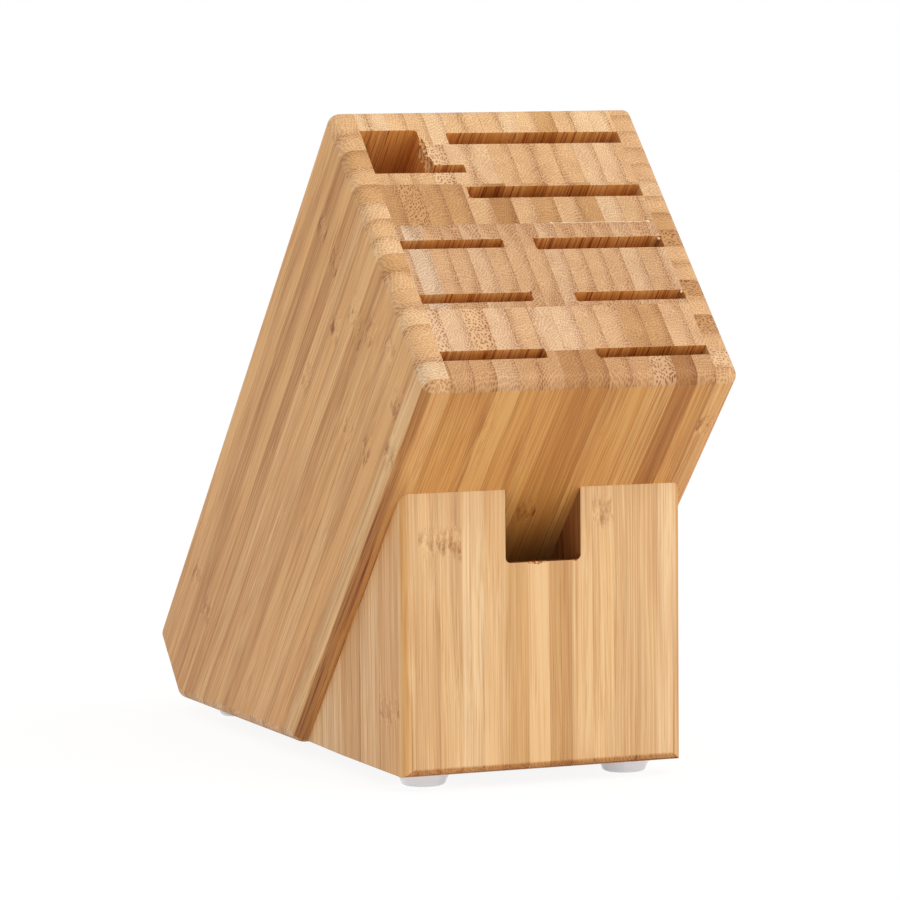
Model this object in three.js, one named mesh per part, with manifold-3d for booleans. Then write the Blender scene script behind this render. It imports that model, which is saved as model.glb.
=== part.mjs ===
// Knife block in bamboo.
//
// A rectangular block is laminated from boards whose edges were sawn in from the left and from the
// right, so that each saw kerf becomes a knife slot once a side panel closes it. The block leans
// forward, its lower end is sawn off level, and a wedge-shaped support is glued and dowelled under its
// front face. A groove down the support's slanted side, with a notch in the front panel, holds kitchen
// shears. Four soft bumpers are stuck underneath.
//
// Millimetres, +Z up, the front looks along -Y. The origin is on the standing surface, under the middle
// of the bounding box.

import * as THREE from 'three';
import { ConvexGeometry } from 'three/addons/geometries/ConvexGeometry.js';
import { mergeVertices } from 'three/addons/utils/BufferGeometryUtils.js';
import Module from 'manifold-3d';

const wasm = await Module();
wasm.setup();

// ---- driving dimensions ----

// The laminated block. Its own axes: X across, Y from the front face to the back face, Z up its length.
const TILT = THREE.MathUtils.degToRad( 45 ); // lean of the block's length from the vertical
const BLOCK_WIDTH = 110;
const BLOCK_DEPTH = 124.5; // front face to back face
const BLOCK_LENGTH = 276.7; // top face to square-cut end
const EDGE_RADIUS = 4.3; // outer edges and corners
const REAR_CORNER_RADIUS = 2.7; // the top's right rear corner, which is sanded less
const EDGE_HEIGHT = 130.2; // level underside up to the sharp corner of the top face's front edge

const SIDE_PANEL = 8.5;
const GLUE_JOINTS = [ 13.3, 32.5, 70, 88.6, 107.2 ]; // from the block's front face
const BOARD_NAMES = [ 'front', 'second', 'middle', 'fourth', 'fifth', 'back' ];
const GAP = 0.3; // glue lines and seats

// Knife slots: the side the saw came in from, the slot's extent from the front face, its inner end in X.
const KNIFE_SLOTS = [
	{ side: 'left', from: 10.3, to: 14.3, innerX: - 10.4 },
	{ side: 'right', from: 9.7, to: 13.7, innerX: 7.1 },
	{ side: 'left', from: 35.1, to: 39.1, innerX: - 7.5 },
	{ side: 'right', from: 34.5, to: 38.6, innerX: 7.4 },
	{ side: 'left', from: 59.3, to: 63.2, innerX: - 10.5 },
	{ side: 'right', from: 58.1, to: 63.2, innerX: 0.4 },
	{ side: 'right', from: 82, to: 87.3, innerX: - 16.2 },
	{ side: 'right', from: 107.3, to: 112.6, innerX: - 16.2 },
];

// The square hole for the sharpening steel, and the narrow slot that runs on from it.
const STEEL_HOLE = { side: 'left', from: 93.9, to: 114, innerX: - 26.4 };
const STEEL_HOLE_SLOT = { side: 'left', from: 93.9, to: 97.6, innerX: - 13.9 };

// The wedge-shaped support. Y is counted from the top face's front edge.
const SUPPORT_WIDTH = 100;
const SUPPORT_FRONT = 37.2;
const SUPPORT_TOP_RADIUS = 2.7; // upright front edges, at the height of the top face's front edge
const SUPPORT_FOOT_RADIUS = 4; // the same edges at the foot
const SUPPORT_TOE_RADIUS = 3; // lower front edge
const FRONT_PANEL = 3.5;
const SUPPORT_BOARD = 18.4;

// The shears pocket: a notch in the front panel, and a groove that runs on down the slanted side.
const POCKET_WIDTH = 26.8;
const NOTCH_DEPTH = 24.1; // below the support's top edge
const NOTCH_RADIUS = 1.8;

// Dowels between the block and the support, set square to the slanted face.
const DOWEL = { radius: 4, intoBlock: 7, intoSupport: 11, chamfer: 0.8, x: 32 };
const DOWEL_ROWS = [ { name: 'upper', down: 78 }, { name: 'lower', down: 130 } ]; // down the front face

// Bumpers. Y is counted from the top face's front edge.
const BUMPER = { height: 4.8, topRadius: 9.3, floorRadius: 6, rim: 1.5, x: 36.3 };
const BUMPER_ROWS = [ { name: 'front', y: 54.9 }, { name: 'rear', y: 243 } ];

const ARC_SEGMENTS = 6;
const ROUND_SEGMENTS = 28;
const OVER = 2; // how far a cutter runs past the face it cuts

// ---- worked-out sizes ----

const SIN = Math.sin( TILT );
const COS = Math.cos( TILT );
const HALF_WIDTH = BLOCK_WIDTH / 2;
const CORE_HALF = HALF_WIDTH - SIDE_PANEL;

// Y of a point on the slanted face, and on a plane set forward of it, at height z.
const slantedY = ( z, forward = 0 ) => ( - forward - z * SIN ) / COS;
const slantedZ = ( y, forward = 0 ) => ( - forward - y * COS ) / SIN;

const NOTCH_FLOOR = slantedZ( SUPPORT_FRONT ) - NOTCH_DEPTH;
const PANEL_BACK = SUPPORT_FRONT + FRONT_PANEL;
// The groove is as deep as it must be to meet the panel's back at the floor of the notch.
const GROOVE_DEPTH = - ( PANEL_BACK * COS + NOTCH_FLOOR * SIN );

// ---- solids ----

function solidFrom( geometry ) {

	geometry.deleteAttribute( 'normal' );
	geometry.deleteAttribute( 'uv' );
	const merged = mergeVertices( geometry, 1e-4 );
	return new wasm.Manifold( new wasm.Mesh( {
		numProp: 3,
		vertProperties: merged.attributes.position.array,
		triVerts: Uint32Array.from( merged.index.array ),
	} ) );

}

function geometryFrom( solid ) {

	const mesh = solid.getMesh();
	const geometry = new THREE.BufferGeometry();
	geometry.setAttribute( 'position', new THREE.BufferAttribute( mesh.vertProperties, 3 ) );
	geometry.setIndex( new THREE.BufferAttribute( mesh.triVerts, 1 ) );
	geometry.computeVertexNormals();
	return geometry;

}

function box( x0, x1, y0, y1, z0, z1 ) {

	const geometry = new THREE.BoxGeometry( x1 - x0, y1 - y0, z1 - z0 );
	return solidFrom( geometry.translate( ( x0 + x1 ) / 2, ( y0 + y1 ) / 2, ( z0 + z1 ) / 2 ) );

}

// One corner of an outline and the arc that rounds it: where the arc starts, its centre, the direction
// from there to the corner, and half the angle that it sweeps.
function cornerArc( corners, i, radius ) {

	const [ corner, before, after ] = [ i, i - 1, ( i + 1 ) % corners.length ]
		.map( ( k ) => new THREE.Vector2( ...corners.at( k ) ) );
	const toBefore = before.sub( corner ).normalize();
	const toAfter = after.sub( corner ).normalize();
	const inward = toBefore.clone().add( toAfter ).normalize();
	const half = Math.acos( toBefore.dot( toAfter ) ) / 2;
	return {
		start: corner.clone().addScaledVector( toBefore, radius / Math.tan( half ) ),
		centre: corner.clone().addScaledVector( inward, radius / Math.sin( half ) ),
		outward: inward.clone().negate().angle(),
		sweep: Math.PI / 2 - half,
	};

}

// A closed outline through corners [ u, v, radius ], given anticlockwise, each rounded by its radius.
function roundedOutline( corners ) {

	const shape = new THREE.Shape();
	corners.forEach( ( [ , , radius = 0 ], i ) => {

		const { start, centre, outward, sweep } = cornerArc( corners, i, radius );
		if ( i === 0 ) shape.moveTo( start.x, start.y );
		else shape.lineTo( start.x, start.y );
		if ( radius > 0 ) shape.absarc( centre.x, centre.y, radius, outward - sweep, outward + sweep, false );

	} );
	shape.closePath();
	return shape;

}

// The hull of balls [ x, y, z, radius ]: a flat-sided solid that each ball rounds off in its own corner. A
// radius of 0 leaves the corner sharp.
function hullOfBalls( balls ) {

	const points = balls.flatMap( ( [ x, y, z, radius ] ) => {

		const place = new THREE.Vector3( x, y, z );
		if ( radius === 0 ) return [ place ];
		const ball = new THREE.SphereGeometry( radius, 4 * ARC_SEGMENTS, 2 * ARC_SEGMENTS ).rotateZ( Math.PI / 2 );
		const surface = ball.attributes.position;
		return Array.from( { length: surface.count }, ( _, i ) =>
			new THREE.Vector3().fromBufferAttribute( surface, i ).add( place ) );

	} );
	return solidFrom( new ConvexGeometry( points ) );

}

// An outline in ( Y, Z ), ( Z, X ) or ( X, Y ), pushed along X, Y or Z.
function extrude( axis, outline, from, to ) {

	const geometry = new THREE.ExtrudeGeometry( outline, {
		depth: to - from, bevelEnabled: false, curveSegments: ARC_SEGMENTS,
	} ).translate( 0, 0, from );
	const [ x, y, z ] = [ [ 1, 0, 0 ], [ 0, 1, 0 ], [ 0, 0, 1 ] ].map( ( v ) => new THREE.Vector3( ...v ) );
	const basis = { X: [ y, z, x ], Y: [ z, x, y ], Z: [ x, y, z ] }[ axis ];
	return solidFrom( geometry.applyMatrix4( new THREE.Matrix4().makeBasis( ...basis ) ) );

}

function cylinder( radius, y0, y1 ) {

	const geometry = new THREE.CylinderGeometry( radius, radius, y1 - y0, ROUND_SEGMENTS );
	return solidFrom( geometry.translate( 0, ( y0 + y1 ) / 2, 0 ) );

}

const cutAll = ( solid, cutters ) => cutters.reduce( ( rest, cutter ) => rest.subtract( cutter ), solid );

// The turn from the block's own axes to the upright axes; both start at the top face's front edge.
const blockTurn = new THREE.Matrix4().makeRotationX( TILT );
const turned = ( solid ) => solid.transform( blockTurn.elements );

// ---- the laminated block, in its own axes ----

function blockBody() {

	const levelCut = ( y ) => - ( EDGE_HEIGHT + y * SIN ) / COS;
	const endY = ( BLOCK_LENGTH * COS - EDGE_HEIGHT ) / SIN; // where the end meets the level cut
	const side = [
		[ 0, 0 ],
		[ 0, levelCut( 0 ) ],
		[ endY, - BLOCK_LENGTH ],
		[ BLOCK_DEPTH, - BLOCK_LENGTH ],
		[ BLOCK_DEPTH, 0 ],
	];
	return hullOfBalls( side.flatMap( ( _, i ) => {

		const rightRadius = i === side.length - 1 ? REAR_CORNER_RADIUS : EDGE_RADIUS;
		return [ [ - 1, EDGE_RADIUS ], [ 1, rightRadius ] ].map( ( [ sign, radius ] ) => {

			const { x: y, y: z } = cornerArc( side, i, radius ).centre;
			return [ sign * ( HALF_WIDTH - radius ), y, z, radius ];

		} );

	} ) );

}

// A saw kerf, open at the core's edge and at both ends.
function kerf( { side, from, to, innerX } ) {

	const outerX = side === 'left' ? - CORE_HALF - OVER : CORE_HALF + OVER;
	const [ x0, x1 ] = side === 'left' ? [ outerX, innerX ] : [ innerX, outerX ];
	return box( x0, x1, from, to, - BLOCK_LENGTH - OVER, OVER );

}

// Dowels and their holes lie along Y, on the block's side and on the support's side of the front face.
const dowelPlaces = DOWEL_ROWS.flatMap( ( row ) => [ [ 'left', - DOWEL.x ], [ 'right', DOWEL.x ] ].map(
	( [ side, x ] ) => ( { name: `dowel_${ row.name }_${ side }`, x, z: - row.down } ) ) );
const dowelHoles = dowelPlaces.map( ( { x, z } ) =>
	cylinder( DOWEL.radius + GAP, - DOWEL.intoSupport - GAP, DOWEL.intoBlock + GAP ).translate( x, 0, z ) );

// One slab of a body, between two planes square to an axis.
function slab( body, axis, from, to ) {

	const far = 2 * BLOCK_LENGTH;
	const limits = { X: [ - far, far ], Y: [ - far, far ], Z: [ - far, far ] };
	limits[ axis ] = [ from, to ];
	return body.intersect( box( ...limits.X, ...limits.Y, ...limits.Z ) );

}

function blockPieces() {

	const body = blockBody();
	const cutters = [ ...KNIFE_SLOTS, STEEL_HOLE, STEEL_HOLE_SLOT ].map( kerf ).concat( dowelHoles );
	const core = cutAll( slab( body, 'X', - CORE_HALF + GAP, CORE_HALF - GAP ), cutters );
	const planes = [ - GAP / 2, ...GLUE_JOINTS, BLOCK_DEPTH + GAP / 2 ];
	const boards = BOARD_NAMES.map( ( name, i ) =>
		[ `${ name }_board`, slab( core, 'Y', planes[ i ] + GAP / 2, planes[ i + 1 ] - GAP / 2 ) ] );
	return [
		[ 'left_side_panel', slab( body, 'X', - HALF_WIDTH - OVER, - CORE_HALF ) ],
		[ 'right_side_panel', slab( body, 'X', CORE_HALF, HALF_WIDTH + OVER ) ],
		...boards,
	];

}

// ---- the support, in upright axes ----

function supportPieces() {

	const half = SUPPORT_WIDTH / 2;
	const topZ = slantedZ( SUPPORT_FRONT, GAP );
	const tipY = slantedY( - EDGE_HEIGHT, GAP );
	const wedge = roundedOutline( [
		[ SUPPORT_FRONT, - EDGE_HEIGHT, SUPPORT_TOE_RADIUS ],
		[ tipY, - EDGE_HEIGHT ],
		[ SUPPORT_FRONT, topZ ],
	] );
	// The stock it is cut from reaches below the foot. Only its upright front edges are round.
	const stockFloor = - EDGE_HEIGHT - SUPPORT_FOOT_RADIUS;
	const stock = hullOfBalls( [ - 1, 1 ].flatMap( ( side ) => [
		[ half - SUPPORT_FOOT_RADIUS, SUPPORT_FRONT + SUPPORT_FOOT_RADIUS, stockFloor, SUPPORT_FOOT_RADIUS ],
		[ half - SUPPORT_TOP_RADIUS, SUPPORT_FRONT + SUPPORT_TOP_RADIUS, 0, SUPPORT_TOP_RADIUS ],
		[ half, tipY, stockFloor, 0 ],
		[ half, tipY, 0, 0 ],
	].map( ( [ x, y, z, radius ] ) => [ side * x, y, z, radius ] ) ) );
	const body = extrude( 'X', wedge, - half, half ).intersect( stock );

	const pocketHalf = POCKET_WIDTH / 2;
	const notch = extrude( 'Y', roundedOutline( [
		[ NOTCH_FLOOR, - pocketHalf, NOTCH_RADIUS ],
		[ 0, - pocketHalf ],
		[ 0, pocketHalf ],
		[ NOTCH_FLOOR, pocketHalf, NOTCH_RADIUS ],
	] ), SUPPORT_FRONT - OVER, PANEL_BACK + OVER );
	const groove = turned( box( - pocketHalf, pocketHalf, - GROOVE_DEPTH, OVER, - BLOCK_LENGTH, OVER ) );
	const core = cutAll( body, [ groove, ...dowelHoles.map( turned ) ] );

	const panel = slab( body, 'Y', SUPPORT_FRONT - OVER, PANEL_BACK ).subtract( notch );
	const boards = [];
	for ( let y = PANEL_BACK, i = 1; y + SUPPORT_BOARD < tipY; y += SUPPORT_BOARD, i ++ ) {

		const last = y + 2 * SUPPORT_BOARD > tipY;
		const end = last ? tipY + OVER : y + SUPPORT_BOARD;
		boards.push( [ `support_board_${ i }`, slab( core, 'Y', y + GAP, end ) ] );

	}

	return [ [ 'support_front_panel', panel ], ...boards ];

}

// ---- dowels and bumpers ----

// A chamfered dowel; the front face of the block is at Y = 0.
function dowel( x, z ) {

	const { radius, intoBlock, intoSupport, chamfer } = DOWEL;
	const geometry = new THREE.LatheGeometry( [
		[ 0, - intoSupport ], [ radius - chamfer, - intoSupport ], [ radius, - intoSupport + chamfer ],
		[ radius, intoBlock - chamfer ], [ radius - chamfer, intoBlock ], [ 0, intoBlock ],
	].map( ( p ) => new THREE.Vector2( ...p ) ), ROUND_SEGMENTS );
	return solidFrom( geometry ).translate( x, 0, z );

}

// A tapered bumper with a rounded floor rim, its floor face at Z = 0.
function bumper() {

	const { height, topRadius, floorRadius, rim } = BUMPER;
	const profile = [ new THREE.Vector2( 0, 0 ) ];
	for ( let i = 0; i <= ARC_SEGMENTS; i ++ ) {

		const angle = Math.PI / 2 * i / ARC_SEGMENTS;
		profile.push( new THREE.Vector2( floorRadius + rim * Math.sin( angle ), rim * ( 1 - Math.cos( angle ) ) ) );

	}

	profile.push( new THREE.Vector2( topRadius, height ), new THREE.Vector2( 0, height ) );
	const geometry = new THREE.LatheGeometry( profile, ROUND_SEGMENTS );
	return solidFrom( geometry.rotateX( Math.PI / 2 ) );

}

// ---- assembly ----

const materials = {
	bamboo: { color: 0xcf9c60, roughness: 0.55, metalness: 0 },
	bamboo_core: { color: 0xc99558, roughness: 0.6, metalness: 0 },
	front: { color: 0xdcae72, roughness: 0.55, metalness: 0 },
	dowel: { color: 0xd9b98a, roughness: 0.7, metalness: 0 },
	bumper: { color: 0xd8d8da, roughness: 0.35, metalness: 0 },
};

function piece( name, solid, finish ) {

	const mesh = new THREE.Mesh( geometryFrom( solid ), new THREE.MeshStandardMaterial( materials[ finish ] ) );
	mesh.name = name;
	return mesh;

}

const block = new THREE.Group();
block.rotation.x = TILT;
for ( const [ name, solid ] of blockPieces() ) {

	block.add( piece( name, solid, name.endsWith( 'panel' ) ? 'bamboo' : 'bamboo_core' ) );

}

for ( const { name, x, z } of dowelPlaces ) block.add( piece( name, dowel( x, z ), 'dowel' ) );

const knifeBlock = new THREE.Group();
knifeBlock.add( block );
for ( const [ name, solid ] of supportPieces() ) {

	knifeBlock.add( piece( name, solid, name.endsWith( 'panel' ) ? 'front' : 'bamboo' ) );

}

for ( const { name, y } of BUMPER_ROWS ) {

	for ( const [ side, x ] of [ [ 'left', - BUMPER.x ], [ 'right', BUMPER.x ] ] ) {

		const mesh = piece( `bumper_${ name }_${ side }`, bumper(), 'bumper' );
		mesh.position.set( x, y, - EDGE_HEIGHT - GAP - BUMPER.height );
		knifeBlock.add( mesh );

	}

}

// The foremost point is the rounded front edge of the top face, the rearmost the rounded lower corner.
const foremost = EDGE_RADIUS * ( COS + SIN - 1 );
const rearmost = BLOCK_DEPTH * COS + BLOCK_LENGTH * SIN - foremost;
knifeBlock.position.set( 0, - ( foremost + rearmost ) / 2, EDGE_HEIGHT + GAP + BUMPER.height );

export default knifeBlock;
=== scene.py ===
import functools
import math

import bmesh
import bpy
from mathutils import Matrix, Vector, noise


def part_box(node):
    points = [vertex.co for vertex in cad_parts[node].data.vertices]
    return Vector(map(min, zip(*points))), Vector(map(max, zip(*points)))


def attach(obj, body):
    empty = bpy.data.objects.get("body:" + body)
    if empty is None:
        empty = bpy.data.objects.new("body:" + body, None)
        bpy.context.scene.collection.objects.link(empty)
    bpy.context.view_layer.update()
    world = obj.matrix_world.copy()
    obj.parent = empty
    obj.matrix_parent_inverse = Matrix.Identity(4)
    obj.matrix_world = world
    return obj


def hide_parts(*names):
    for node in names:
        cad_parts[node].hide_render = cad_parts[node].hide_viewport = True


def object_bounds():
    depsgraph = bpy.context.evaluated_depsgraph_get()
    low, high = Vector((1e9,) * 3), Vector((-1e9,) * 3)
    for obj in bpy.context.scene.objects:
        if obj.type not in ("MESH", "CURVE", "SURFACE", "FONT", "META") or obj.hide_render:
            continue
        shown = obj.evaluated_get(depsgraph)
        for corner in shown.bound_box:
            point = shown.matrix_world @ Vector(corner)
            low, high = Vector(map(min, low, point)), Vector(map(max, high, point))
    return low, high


bl_info = {
    "name": "Bamboo knife block",
    "version": (1, 0, 0),
    "blender": (4, 5, 0),
    "location": "View3D > Sidebar > Knife block",
    "description": "A slanted bamboo block on an upright support, slotted for knives and shears",
    "category": "Add Mesh",
}

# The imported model. Lengths are in metres, in its frame: x to the right, y to the back, z up from the floor.
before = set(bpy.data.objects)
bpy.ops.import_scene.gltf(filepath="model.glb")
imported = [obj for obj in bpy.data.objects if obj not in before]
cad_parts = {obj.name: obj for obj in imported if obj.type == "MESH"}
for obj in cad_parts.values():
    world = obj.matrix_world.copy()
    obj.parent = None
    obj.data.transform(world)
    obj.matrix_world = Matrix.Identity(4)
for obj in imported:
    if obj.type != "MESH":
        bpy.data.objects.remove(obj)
cad_low, cad_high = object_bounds()

MM = 0.001
BODY = "root"

# Where the boards lie, in millimetres. The block has its own axes: x as above, y from its front face to its
# back, and z along its length with 0 at its sloping top, so the grain runs along z there too.
TILT = math.radians(45)
# How far the line where top and front face would meet lies in front of the rounded edge.
ROUNDED_OFF = 1.781
TOP_FRONT_LINE = Vector((0, cad_low.y * 1000 - ROUNDED_OFF, 135.3))
BLOCK_DEPTH = 124.5
BLOCK_SIDE = 55
CORE_SIDE = 46.5
# The long edges and the top are rounded. A little more than that radius, to find what lies on them.
ROUNDED_EDGE = 4.4
UNDERSIDE = 5.1
# Depths of the joints between the core boards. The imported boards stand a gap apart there.
GLUE_JOINTS = (13.3, 32.5, 70, 88.6, 107.2)
GLUE_GAP = 0.3
SUPPORT_SIDE = 50
SUPPORT_TOP = 98.1
POCKET_SIDE = 13.4
NOTCH_FLOOR = 74.0
# What the glued faces are brought together to, and how near counts as being in a place.
HAIRLINE = 0.01
NEAR = 0.02

# Into the block's axes and millimetres, and the same turn and shift for the materials' mappings.
INTO_BLOCK = Matrix.Rotation(-TILT, 4, "X") @ Matrix.Translation(-TOP_FRONT_LINE) @ Matrix.Scale(1 / MM, 4)
OUT_OF_BLOCK = INTO_BLOCK.inverted()
BLOCK_ORIGIN = -(Matrix.Rotation(-TILT, 3, "X") @ TOP_FRONT_LINE)
BLOCK_TURN = (-TILT, 0.0, 0.0)
PANEL_TURN = (-TILT, 0.0, math.radians(-90))

# Kinds of node that come up often.
MATH = "ShaderNodeMath"
VECTOR_MATH = "ShaderNodeVectorMath"
MIX = "ShaderNodeMix"
RANGE = "ShaderNodeMapRange"
NOISE = "ShaderNodeTexNoise"


def lin(colour):
    """A colour written as sRGB hex, in the linear numbers that Blender uses, with alpha 1."""
    parts = [int(colour[k : k + 2], 16) / 255 for k in (1, 3, 5)]
    return (*[c / 12.92 if c <= 0.04045 else ((c + 0.055) / 1.055) ** 2.4 for c in parts], 1.0)


def add(tree, kind, inputs=(), **settings):
    """Adds a node. Its inputs come in order in a list, or by name or number. Each is a value, a socket, or a
    node, whose first output is meant."""
    node = tree.nodes.new(kind)
    for setting, value in settings.items():
        setattr(node, setting, value)
    pairs = inputs.items() if isinstance(inputs, dict) else enumerate(inputs)
    for key, value in pairs:
        if isinstance(key, int):
            socket = node.inputs[key]
        else:
            socket = next(s for s in node.inputs if s.name == key and s.enabled)
        if isinstance(value, bpy.types.Node):
            value = next(s for s in value.outputs if s.enabled)
        if isinstance(value, bpy.types.NodeSocket):
            tree.links.new(value, socket)
        else:
            socket.default_value = value
    return node


# ---------------------------------------------------------------------------------------------------------
# Sizes and colours
# ---------------------------------------------------------------------------------------------------------


def colour_property(name, description, default):
    return bpy.props.FloatVectorProperty(
        name=name, description=description, default=lin(default), subtype="COLOR", size=4, min=0, max=1
    )


def length_property(name, description, default, least):
    return bpy.props.FloatProperty(
        name=name, description=description, default=default * MM, min=least * MM, unit="LENGTH", precision=5
    )


class BambooSettings(bpy.types.PropertyGroup):
    """Colours of the strips and the scale of the grain."""

    pale: colour_property("Pale strips", "Colour of the inner wood of a young culm", "#FDE0B8")
    light: colour_property("Light strips", "Colour of the lighter strips", "#FAD3A1")
    medium: colour_property("Medium strips", "Colour of most of the strips", "#F4C78F")
    dark: colour_property("Dark strips", "Colour of the strips that were steamed longer", "#DFAC6D")
    darkest: colour_property("Darkest strips", "Colour of the darkest strips", "#CF9859")
    bundle: colour_property("Fibre bundles", "What a fibre bundle leaves of the wood's colour", "#A07348")
    # The rounded edges' darker colour is painted shade, for edges that turn away from the lamp.
    rounded: colour_property("Rounded edges", "What the oil leaves of the colour on rounded edges", "#F0DDBE")
    sawn: colour_property("Sawn walls", "What the oil leaves of the colour inside the slots", "#FFE6C0")
    # The notch's colour is painted shade: it is a recess that the light hardly reaches.
    pocket_shade: colour_property("Shears pocket", "What the oil leaves of the colour in the notch", "#B5987F")
    torn: colour_property("Torn fibres", "Colour of splinters where the wood broke", "#FFC888")
    torn_hollow: colour_property("Torn hollows", "Colour between the splinters", "#8C4A20")
    glue: colour_property("Dried glue", "Colour of glue that was squeezed out", "#F1E3CC")
    # The real bundles lie about 0.5 mm apart, too fine to show, so they are drawn coarser.
    bundle_pitch: length_property("Bundle pitch", "Space from one fibre bundle to the next", 0.88, 0.2)
    coarse_pitch: length_property("Coarse pitch", "The same in strips from the culm's foot", 1.1, 0.2)
    eased_edge: length_property("Eased edge", "Width of the sanded edge at slots and corners", 0.35, 0.1)
    kerf_corner: length_property("Kerf corner", "Radius that the saw leaves at a slot's end", 0.9, 0.1)
    glue_thread: length_property("Glue thread", "Radius of the thread of glue along a joint", 0.1, 0.02)
    glue_drop: length_property("Glue drop", "Radius of the largest drops of glue", 0.75, 0.1)
    glue_wave: length_property("Glue wave", "How far the thread of glue strays from its joint", 0.4, 0.0)


class FootSettings(bpy.types.PropertyGroup):
    """Sizes and colours of the rubber bumpers and the hidden dowels."""

    rubber: colour_property("Rubber", "Colour of the bumpers", "#F5F3F2")
    rubber_shade: colour_property("Cloudy rubber", "Colour of the bumpers where they are milkier", "#EDEBEC")
    rubber_inside: colour_property("Light in the rubber", "Colour of the light that comes through", "#E1F0FF")
    rubber_glow: bpy.props.FloatProperty(
        name="Rubber glow", description="Strength of the light that comes through", default=0.21, min=0
    )
    beech: colour_property("Beech", "Colour of the dowels", "#D9B48A")
    beech_fleck: colour_property("Beech fleck", "Colour of the flecks in the dowels", "#B98B60")
    dowel_length: length_property("Dowel length", "Length of a dowel", 18, 5)
    dowel_radius: length_property("Dowel radius", "Radius of a dowel", 4, 1)
    chamfer: length_property("Dowel chamfer", "Width of the chamfer at a dowel's ends", 0.8, 0.1)
    flutes: bpy.props.IntProperty(name="Flutes", description="Glue grooves round a dowel", default=18, min=6)
    flute_depth: length_property("Flute depth", "Depth of a glue groove", 0.35, 0.1)
    waist: length_property("Bumper waist", "Radius of a bumper just above its rim", 7.5, 1)
    rim: length_property("Bumper rim", "Radius of the rounded rim at the floor", 1.5, 0.1)


class StageSettings(bpy.types.PropertyGroup):
    """Camera, lamps and floor."""

    camera_place: bpy.props.FloatVectorProperty(
        name="Camera place", description="Where the camera stands", default=(-0.5238, -1.3414, 0.2084),
        subtype="TRANSLATION", unit="LENGTH",
    )
    camera_turn: bpy.props.FloatVectorProperty(
        name="Camera turn", description="Turn to the right, dip below the horizon and roll",
        default=[math.radians(a) for a in (21.661, 4.148, -0.608)], subtype="EULER", unit="ROTATION",
    )
    lens: bpy.props.FloatProperty(
        name="Lens", description="Focal length on a 36 mm sensor", default=164.1, min=10, unit="CAMERA"
    )
    floor: colour_property("Floor", "Colour of the floor and the sweep behind it", "#F4F3F1")
    sky: bpy.props.FloatProperty(
        name="Room light", description="Even light from all round", default=0.80, min=0
    )
    key: bpy.props.FloatProperty(
        name="Main lamp", description="Soft lamp in front, above, right", default=15.7, min=0, unit="POWER"
    )


# ---------------------------------------------------------------------------------------------------------
# Bamboo
# ---------------------------------------------------------------------------------------------------------

# Tone of each strip: pale, light, medium, dark or k for the darkest. A capital is a strip from the foot of
# the culm, with few and thick bundles.
TONES = {"p": "pale", "l": "light", "m": "medium", "d": "dark", "k": "darkest"}
# Height of each strip's culm node: a base 36 digit times this many millimetres below the board's top.
NODE_STEP = 8
NO_NODE = "."
# How far down the culm nodes may lie. A strip without one has it past the board's end.
NODE_REACH = 400.0
PLAIN = "#FFFFFF"
# What the oil leaves of the colour on the core boards' faces and on the ends in the support. On the side
# panels' faces it is the oil with painted shade for the side away from the lamp, and in the groove beside the
# support it is painted shade.
CORE_FACE = "#F6E6C8"
PANEL_FACE = "#F0DDBC"
SUPPORT_END = "#D8BE98"
GROOVE_SHADE = "#E2D8C8"


def node_group(name, kind, inputs, outputs):
    """An empty node group with named inputs and outputs, and the sockets that give its inputs."""
    tree = bpy.data.node_groups.new(name, kind)
    for way, sockets in (("INPUT", inputs), ("OUTPUT", outputs)):
        for label, socket in sockets.items():
            tree.interface.new_socket(name=label, in_out=way, socket_type="NodeSocket" + socket)
    return tree, add(tree, "NodeGroupInput").outputs


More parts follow.
